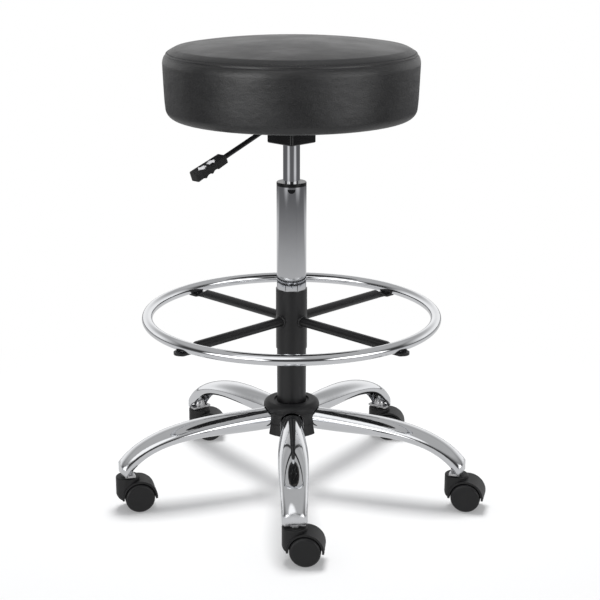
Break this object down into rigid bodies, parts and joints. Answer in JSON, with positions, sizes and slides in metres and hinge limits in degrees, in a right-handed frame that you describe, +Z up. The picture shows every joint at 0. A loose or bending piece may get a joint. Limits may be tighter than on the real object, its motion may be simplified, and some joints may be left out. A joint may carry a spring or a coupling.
{
  "type": "drafting stool",
  "caption": "Backless drafting stool: round padded seat on a gas lift with release lever, chrome foot ring on spokes, star base on swivelling twin-wheel casters.",
  "frame": {"origin": "on the floor, on the column's axis", "axes": "+Z up along the column, -Y towards the front leg"},
  "size_m": [0.6287, 0.584, 0.779],
  "materials": {
    "vinyl": "black satin vinyl with a fine grain",
    "foam": "upholstery foam, hidden",
    "board": "plywood, hidden",
    "dust": "black woven dust cloth",
    "black_metal": "black gloss powder coat",
    "satin_metal": "black satin powder coat",
    "chrome": "bright chrome plate",
    "steel": "ground steel",
    "zinc": "zinc plate",
    "black_plastic": "black moulded plastic",
    "gloss_black": "black gloss plastic",
    "nylon": "black nylon wheel",
    "rubber": "black rubber"
  },
  "bodies": {
    "base": {"base_core": "steel", "hub_cover": "black_plastic", "base_leg_1": "chrome", "base_leg_2": "chrome", "base_leg_3": "chrome", "base_leg_4": "chrome", "base_leg_5": "chrome", "caster_sockets": "steel", "caster_stems": "zinc", "extension_tube": "satin_metal", "footring_socket": "satin_metal", "footring_spokes": "satin_metal", "footring": "chrome", "footring_screws": "zinc", "stand_tube": "chrome", "guide_bush": "gloss_black", "bearing_washer_lower": "steel", "bearing_balls": "steel"},
    "gas_rod": {"piston_rod": "steel", "gas_piston": "steel", "bump_stop": "rubber", "bearing_washer_upper": "steel", "rod_clip": "zinc"},
    "seat": {"seat_cover": "vinyl", "seat_foam": "foam", "seat_board": "board", "dust_cover": "dust", "seat_t_nuts": "zinc", "seat_screws": "zinc", "mechanism_plate": "black_metal", "mechanism_housing": "black_metal", "taper_sleeve": "black_metal", "lever_pivot_pin": "zinc", "pressure_tube": "chrome", "valve_body": "steel", "rod_guide": "steel"},
    "lever": {"lever_rod": "black_metal", "lever_handle": "black_plastic"},
    "release_valve": {"valve_pin": "steel"},
    "caster_1": {"caster_hood_1": "black_plastic", "caster_axle_1": "steel"},
    "wheel_1_near": {"caster_wheel_1_near": "nylon"},
    "wheel_1_far": {"caster_wheel_1_far": "nylon"},
    "caster_2": {"caster_hood_2": "black_plastic", "caster_axle_2": "steel"},
    "wheel_2_near": {"caster_wheel_2_near": "nylon"},
    "wheel_2_far": {"caster_wheel_2_far": "nylon"},
    "caster_3": {"caster_hood_3": "black_plastic", "caster_axle_3": "steel"},
    "wheel_3_near": {"caster_wheel_3_near": "nylon"},
    "wheel_3_far": {"caster_wheel_3_far": "nylon"},
    "caster_4": {"caster_hood_4": "black_plastic", "caster_axle_4": "steel"},
    "wheel_4_near": {"caster_wheel_4_near": "nylon"},
    "wheel_4_far": {"caster_wheel_4_far": "nylon"},
    "caster_5": {"caster_hood_5": "black_plastic", "caster_axle_5": "steel"},
    "wheel_5_near": {"caster_wheel_5_near": "nylon"},
    "wheel_5_far": {"caster_wheel_5_far": "nylon"}
  },
  "joints": [
    {"name": "seat_swivel", "type": "hinge", "parent": "base", "child": "gas_rod", "pos_m": [0, 0, 0.29], "axis": [0, 0, 1], "continuous": true},
    {"name": "seat_lift", "type": "slide", "parent": "gas_rod", "child": "seat", "axis": [0, 0, 1], "range_m": [-0.055, 0.085]},
    {"name": "lever_lift", "type": "hinge", "parent": "seat", "child": "lever", "pos_m": [-0.01414, -0.01414, 0.64503], "axis": [-0.7071, 0.7071, 0], "range_deg": [0, 7], "stiffness_Nm_per_rad": 4, "springref_deg": -5.73},
    {"name": "valve_press", "type": "slide", "parent": "seat", "child": "release_valve", "axis": [0, 0, -1], "range_m": [0, 0.003]},
    {"name": "caster_swivel_1", "type": "hinge", "parent": "base", "child": "caster_1", "pos_m": [0.0046, -0.29291, 0.05], "axis": [0, 0, 1], "continuous": true},
    {"name": "wheel_roll_1_near", "type": "hinge", "parent": "caster_1", "child": "wheel_1_near", "pos_m": [0.02253, -0.29448, 0.025], "axis": [-0.0872, -0.9962, 0], "continuous": true},
    {"name": "wheel_roll_1_far", "type": "hinge", "parent": "caster_1", "child": "wheel_1_far", "pos_m": [0.02253, -0.29448, 0.025], "axis": [-0.0872, -0.9962, 0], "continuous": true},
    {"name": "caster_swivel_2", "type": "hinge", "parent": "base", "child": "caster_2", "pos_m": [0.27999, -0.08614, 0.05], "axis": [0, 0, 1], "continuous": true},
    {"name": "wheel_roll_2_near", "type": "hinge", "parent": "caster_2", "child": "wheel_2_near", "pos_m": [0.29746, -0.09049, 0.025], "axis": [-0.2419, -0.9703, 0], "continuous": true},
    {"name": "wheel_roll_2_far", "type": "hinge", "parent": "caster_2", "child": "wheel_2_far", "pos_m": [0.29746, -0.09049, 0.025], "axis": [-0.2419, -0.9703, 0], "continuous": true},
    {"name": "caster_swivel_3", "type": "hinge", "parent": "base", "child": "caster_3", "pos_m": [0.16844, 0.23967, 0.05], "axis": [0, 0, 1], "continuous": true},
    {"name": "wheel_roll_3_near", "type": "hinge", "parent": "caster_3", "child": "wheel_3_near", "pos_m": [0.18635, 0.23779, 0.025], "axis": [-0.1045, -0.9945, 0], "continuous": true},
    {"name": "wheel_roll_3_far", "type": "hinge", "parent": "caster_3", "child": "wheel_3_far", "pos_m": [0.18635, 0.23779, 0.025], "axis": [-0.1045, -0.9945, 0], "continuous": true},
    {"name": "caster_swivel_4", "type": "hinge", "parent": "base", "child": "caster_4", "pos_m": [-0.17589, 0.23426, 0.05], "axis": [0, 0, 1], "continuous": true},
    {"name": "wheel_roll_4_near", "type": "hinge", "parent": "caster_4", "child": "wheel_4_near", "pos_m": [-0.15791, 0.2352, 0.025], "axis": [0.0523, -0.9986, 0], "continuous": true},
    {"name": "wheel_roll_4_far", "type": "hinge", "parent": "caster_4", "child": "wheel_4_far", "pos_m": [-0.15791, 0.2352, 0.025], "axis": [0.0523, -0.9986, 0], "continuous": true},
    {"name": "caster_swivel_5", "type": "hinge", "parent": "base", "child": "caster_5", "pos_m": [-0.27715, -0.09489, 0.05], "axis": [0, 0, 1], "continuous": true},
    {"name": "wheel_roll_5_near", "type": "hinge", "parent": "caster_5", "child": "wheel_5_near", "pos_m": [-0.25968, -0.09054, 0.025], "axis": [0.2419, -0.9703, 0], "continuous": true},
    {"name": "wheel_roll_5_far", "type": "hinge", "parent": "caster_5", "child": "wheel_5_far", "pos_m": [-0.25968, -0.09054, 0.025], "axis": [0.2419, -0.9703, 0], "continuous": true}
  ],
  "couplings": [
    {"joint": "valve_press", "follows": "lever_lift", "m_per_rad": 0.0235}
  ]
}
